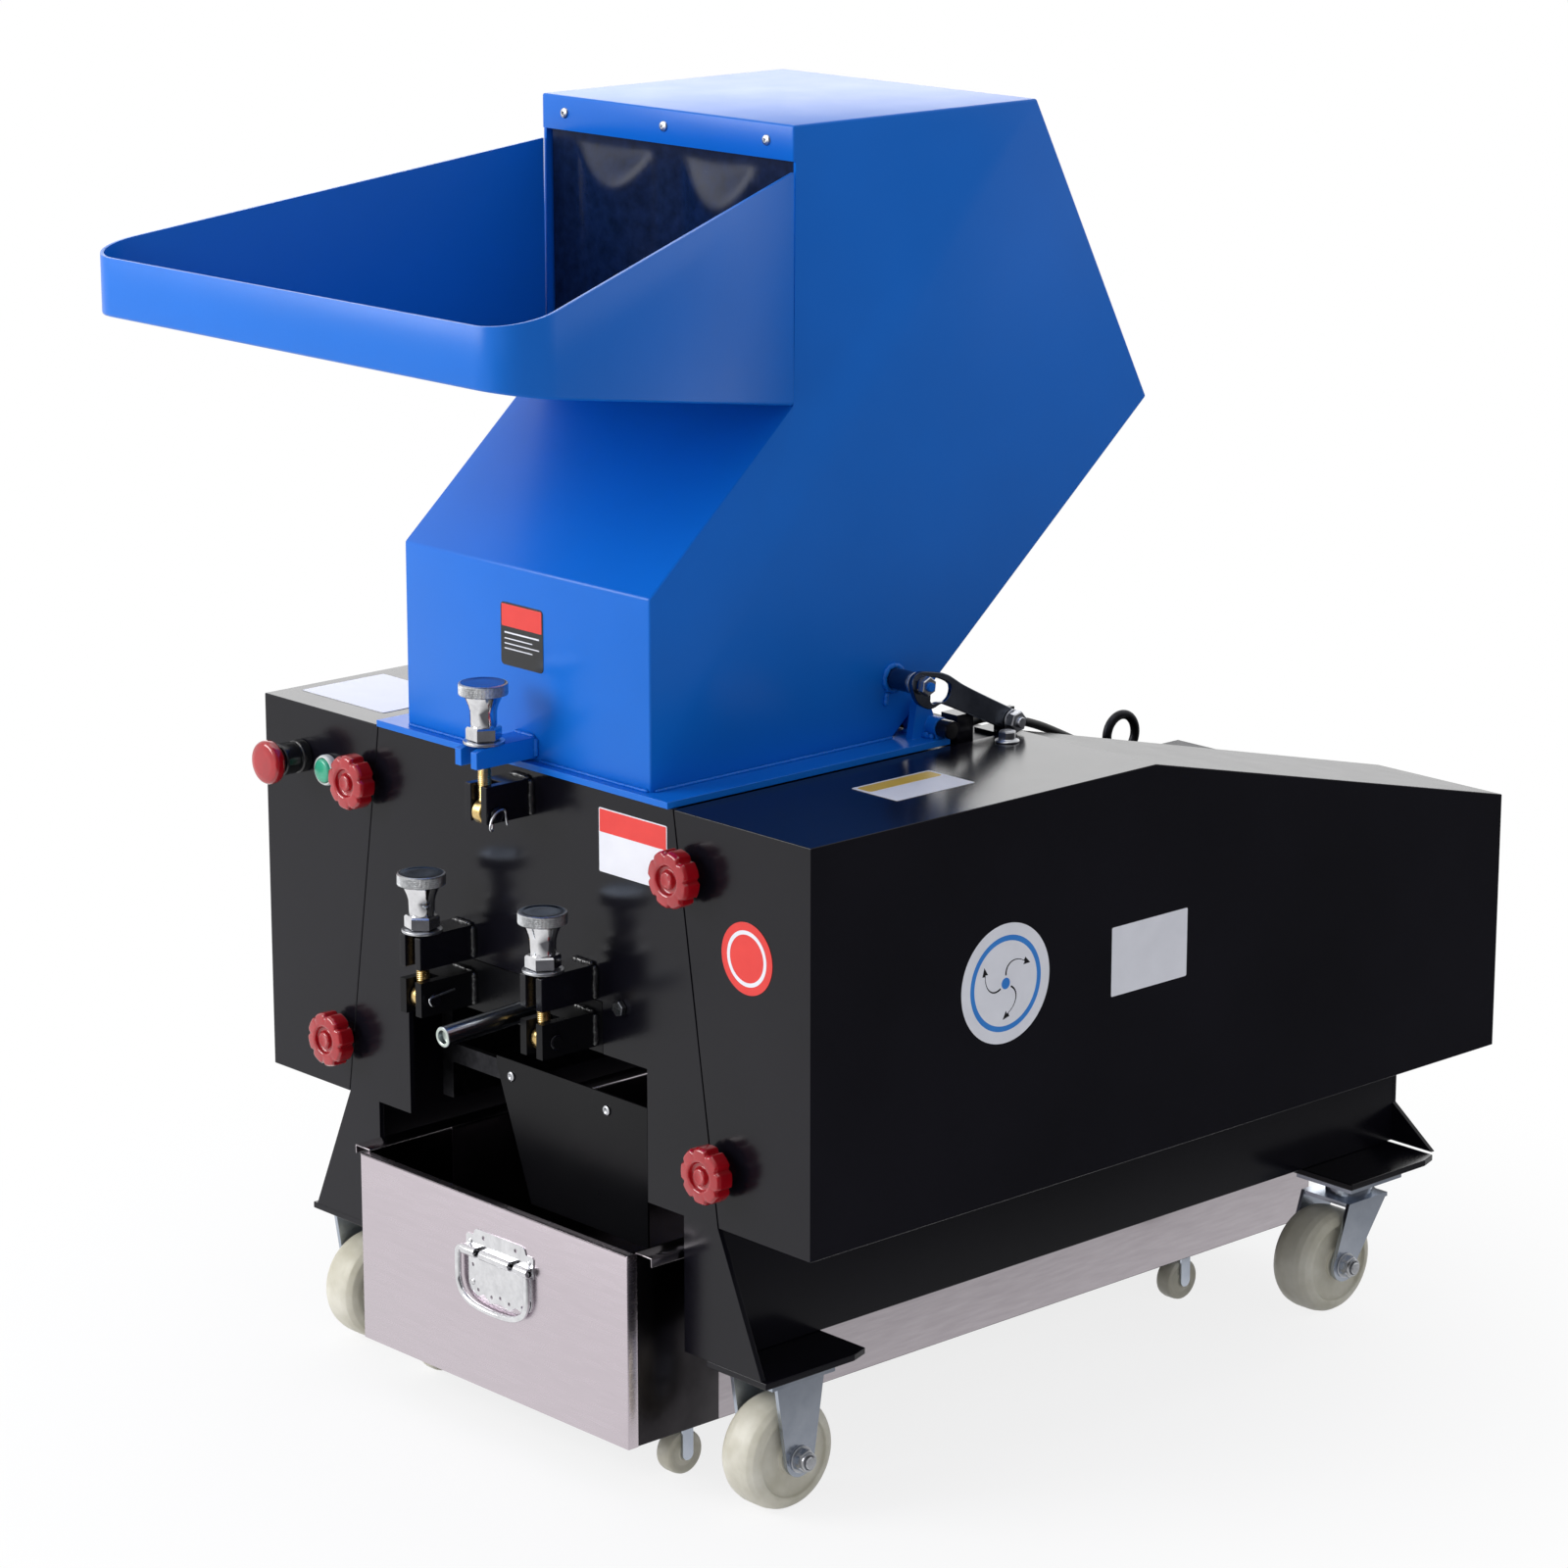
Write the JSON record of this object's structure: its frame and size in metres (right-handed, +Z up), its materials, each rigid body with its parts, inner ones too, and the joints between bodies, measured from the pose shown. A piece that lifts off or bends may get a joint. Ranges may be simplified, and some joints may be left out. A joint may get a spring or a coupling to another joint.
{
  "type": "plastic granulator",
  "caption": "Free-standing plastic granulator with a tipping hopper and feed tray, belt-driven knife rotor, side covers, wheeled collecting bin and casters.",
  "frame": {"origin": "on the floor, under the middle of the machine's box", "axes": "+X to the machine's right seen from the front, -Y towards the feed tray, +Z up"},
  "size_m": [0.73, 1.115, 1.154],
  "materials": {
    "black_paint": "gloss black enamel on sheet steel",
    "cast_dark": "dark primed casting",
    "tool_steel": "ground steel",
    "blue_paint": "gloss blue enamel on sheet steel",
    "curtain_sheet": "glossy black flexible sheet",
    "belt_rubber": "matt black belt rubber",
    "cable_rubber": "black cable sheath",
    "zinc_steel": "bright zinc plating",
    "yellow_zinc": "yellow zinc plating",
    "red_plastic": "gloss red plastic",
    "green_plastic": "gloss green plastic",
    "dark_plastic": "matt dark plastic",
    "nylon_wheel": "cream cast nylon",
    "stainless": "thin brushed stainless sheet"
  },
  "bodies": {
    "frame": {"front_panel": "black_paint", "rear_panel": "black_paint", "side_panels": "black_paint", "foot_plates": "black_paint", "chamber_end_plates": "cast_dark", "chamber_walls": "cast_dark", "fixed_knives": "tool_steel", "bearing_housings": "cast_dark", "frame_lugs": "black_paint", "motor_base": "black_paint", "motor_housing": "cast_dark", "drive_belts": "belt_rubber", "screen_cradle": "black_paint", "screen": "tool_steel", "cradle_handle": "zinc_steel", "baffle": "curtain_sheet", "hinge_brackets": "black_paint", "switch_cable": "cable_rubber", "caster_mounts": "zinc_steel"},
    "rotor": {"rotor": "tool_steel", "rotor_knives": "tool_steel", "rotor_pulley": "cast_dark", "balance_wheel": "cast_dark"},
    "motor_shaft": {"motor_pulley": "tool_steel"},
    "hopper": {"hopper_shell": "blue_paint", "feed_tray": "blue_paint", "hopper_flange": "blue_paint"},
    "curtain": {"mouth_curtain": "curtain_sheet"},
    "stay": {"stay_arm": "zinc_steel"},
    "left_cover": {"left_cover": "black_paint", "button_bases": "dark_plastic"},
    "right_cover": {"right_cover": "black_paint"},
    "stop_button": {"stop_button": "red_plastic"},
    "start_button": {"start_button": "green_plastic"},
    "left_swivel": {"left_swivel_fork": "zinc_steel"},
    "right_swivel": {"right_swivel_fork": "zinc_steel"},
    "bin": {"bin": "stainless", "bin_wheel_forks": "zinc_steel"},
    "bail": {"bin_bail": "zinc_steel"},
    "knob_left_top": {"knob_left_top": "red_plastic"},
    "knob_left_low": {"knob_left_low": "red_plastic"},
    "knob_right_top": {"knob_right_top": "red_plastic"},
    "knob_right_low": {"knob_right_low": "red_plastic"},
    "top_bolt": {"top_eyebolt": "yellow_zinc"},
    "top_washer": {"top_washer": "zinc_steel"},
    "top_nut": {"top_hand_nut": "zinc_steel"},
    "left_bolt": {"left_eyebolt": "yellow_zinc"},
    "left_washer": {"left_washer": "zinc_steel"},
    "left_nut": {"left_hand_nut": "zinc_steel"},
    "right_bolt": {"right_eyebolt": "yellow_zinc"},
    "right_washer": {"right_washer": "zinc_steel"},
    "right_nut": {"right_hand_nut": "zinc_steel"},
    "front_left_wheel": {"front_left_wheel": "nylon_wheel"},
    "bin_wheel_front_left": {"bin_wheel_front_left": "nylon_wheel"},
    "front_right_wheel": {"front_right_wheel": "nylon_wheel"},
    "bin_wheel_front_right": {"bin_wheel_front_right": "nylon_wheel"},
    "rear_left_wheel": {"rear_left_wheel": "nylon_wheel"},
    "bin_wheel_rear_left": {"bin_wheel_rear_left": "nylon_wheel"},
    "rear_right_wheel": {"rear_right_wheel": "nylon_wheel"},
    "bin_wheel_rear_right": {"bin_wheel_rear_right": "nylon_wheel"}
  },
  "joints": [
    {"name": "hopper_tip", "type": "hinge", "parent": "frame", "child": "hopper", "pos_m": [0, 0.0005, 0.621], "axis": [-1, 0, 0], "range_deg": [0, 45]},
    {"name": "stay_swing", "type": "hinge", "parent": "frame", "child": "stay", "pos_m": [0.195, 0.0765, 0.617], "axis": [-1, 0, 0], "range_deg": [0, 17]},
    {"name": "curtain_swing", "type": "hinge", "parent": "hopper", "child": "curtain", "pos_m": [0, -0.1452, 1.149], "axis": [1, 0, 0], "range_deg": [0, 50]},
    {"name": "rotor_spin", "type": "hinge", "parent": "frame", "child": "rotor", "pos_m": [0, -0.1525, 0.45], "axis": [1, 0, 0], "continuous": true},
    {"name": "motor_spin", "type": "hinge", "parent": "frame", "child": "motor_shaft", "pos_m": [0, 0.4295, 0.38], "axis": [1, 0, 0], "continuous": true},
    {"name": "left_cover_off", "type": "slide", "parent": "frame", "child": "left_cover", "axis": [-1, 0, 0], "range_m": [0, 0.3]},
    {"name": "right_cover_off", "type": "slide", "parent": "frame", "child": "right_cover", "axis": [1, 0, 0], "range_m": [0, 0.3]},
    {"name": "stop_press", "type": "slide", "parent": "left_cover", "child": "stop_button", "axis": [0, 1, 0], "range_m": [0, 0.005], "stiffness_N_per_m": 800},
    {"name": "start_press", "type": "slide", "parent": "left_cover", "child": "start_button", "axis": [0, 1, 0], "range_m": [0, 0.003], "stiffness_N_per_m": 500},
    {"name": "knob_left_top_turn", "type": "hinge", "parent": "frame", "child": "knob_left_top", "pos_m": [-0.21703, -0.3175, 0.5535], "axis": [0, 1, 0], "continuous": true},
    {"name": "knob_left_low_turn", "type": "hinge", "parent": "frame", "child": "knob_left_low", "pos_m": [-0.25495, -0.3175, 0.3056], "axis": [0, 1, 0], "continuous": true},
    {"name": "knob_right_top_turn", "type": "hinge", "parent": "frame", "child": "knob_right_top", "pos_m": [0.21703, -0.3175, 0.5535], "axis": [0, 1, 0], "continuous": true},
    {"name": "knob_right_low_turn", "type": "hinge", "parent": "frame", "child": "knob_right_low", "pos_m": [0.25495, -0.3175, 0.3056], "axis": [0, 1, 0], "continuous": true},
    {"name": "top_bolt_swing", "type": "hinge", "parent": "hopper", "child": "top_bolt", "pos_m": [0, -0.3575, 0.573], "axis": [1, 0, 0], "range_deg": [0, 180]},
    {"name": "top_washer_lift", "type": "slide", "parent": "top_bolt", "child": "top_washer", "axis": [0, 0, 1], "range_m": [0, 0.00875]},
    {"name": "top_nut_spin", "type": "hinge", "parent": "top_washer", "child": "top_nut", "pos_m": [0, -0.3575, 0.633], "axis": [0, 0, 1], "range_deg": [0, 1800]},
    {"name": "left_bolt_swing", "type": "hinge", "parent": "frame", "child": "left_bolt", "pos_m": [-0.082, -0.3635, 0.391], "axis": [1, 0, 0], "range_deg": [0, 180]},
    {"name": "left_washer_lift", "type": "slide", "parent": "left_bolt", "child": "left_washer", "axis": [0, 0, 1], "range_m": [0, 0.00875]},
    {"name": "left_nut_spin", "type": "hinge", "parent": "left_washer", "child": "left_nut", "pos_m": [-0.082, -0.3635, 0.45], "axis": [0, 0, 1], "range_deg": [0, 1800]},
    {"name": "right_bolt_swing", "type": "hinge", "parent": "frame", "child": "right_bolt", "pos_m": [0.082, -0.3635, 0.391], "axis": [1, 0, 0], "range_deg": [0, 180]},
    {"name": "right_washer_lift", "type": "slide", "parent": "right_bolt", "child": "right_washer", "axis": [0, 0, 1], "range_m": [0, 0.00875]},
    {"name": "right_nut_spin", "type": "hinge", "parent": "right_washer", "child": "right_nut", "pos_m": [0.082, -0.3635, 0.45], "axis": [0, 0, 1], "range_deg": [0, 1800]},
    {"name": "left_swivel_turn", "type": "hinge", "parent": "frame", "child": "left_swivel", "pos_m": [-0.275, 0.4625, 0.1], "axis": [0, 0, 1], "continuous": true},
    {"name": "right_swivel_turn", "type": "hinge", "parent": "frame", "child": "right_swivel", "pos_m": [0.275, 0.4625, 0.1], "axis": [0, 0, 1], "continuous": true},
    {"name": "front_left_roll", "type": "hinge", "parent": "frame", "child": "front_left_wheel", "pos_m": [-0.275, -0.2725, 0.05], "axis": [1, 0, 0], "continuous": true},
    {"name": "front_right_roll", "type": "hinge", "parent": "frame", "child": "front_right_wheel", "pos_m": [0.275, -0.2725, 0.05], "axis": [1, 0, 0], "continuous": true},
    {"name": "rear_left_roll", "type": "hinge", "parent": "left_swivel", "child": "rear_left_wheel", "pos_m": [-0.275, 0.4255, 0.05], "axis": [1, 0, 0], "continuous": true},
    {"name": "rear_right_roll", "type": "hinge", "parent": "right_swivel", "child": "rear_right_wheel", "pos_m": [0.275, 0.4255, 0.05], "axis": [1, 0, 0], "continuous": true},
    {"name": "bin_out", "type": "slide", "parent": "frame", "child": "bin", "axis": [0, -1, 0], "range_m": [0, 0.56]},
    {"name": "bail_lift", "type": "hinge", "parent": "bin", "child": "bail", "pos_m": [0.008, -0.3645, 0.172], "axis": [-1, 0, 0], "range_deg": [0, 90]},
    {"name": "bin_front_left_roll", "type": "hinge", "parent": "bin", "child": "bin_wheel_front_left", "pos_m": [-0.165, -0.2865, 0.02], "axis": [1, 0, 0], "continuous": true},
    {"name": "bin_front_right_roll", "type": "hinge", "parent": "bin", "child": "bin_wheel_front_right", "pos_m": [0.165, -0.2865, 0.02], "axis": [1, 0, 0], "continuous": true},
    {"name": "bin_rear_left_roll", "type": "hinge", "parent": "bin", "child": "bin_wheel_rear_left", "pos_m": [-0.165, 0.3445, 0.02], "axis": [1, 0, 0], "continuous": true},
    {"name": "bin_rear_right_roll", "type": "hinge", "parent": "bin", "child": "bin_wheel_rear_right", "pos_m": [0.165, 0.3445, 0.02], "axis": [1, 0, 0], "continuous": true}
  ],
  "couplings": [
    {"joint": "stay_swing", "follows": "hopper_tip", "ratio": 0.3756},
    {"joint": "motor_spin", "follows": "rotor_spin", "ratio": 2.5},
    {"joint": "top_nut_spin", "follows": "top_washer_lift", "rad_per_m": 3590.4},
    {"joint": "left_nut_spin", "follows": "left_washer_lift", "rad_per_m": 3590.4},
    {"joint": "right_nut_spin", "follows": "right_washer_lift", "rad_per_m": 3590.4}
  ]
}
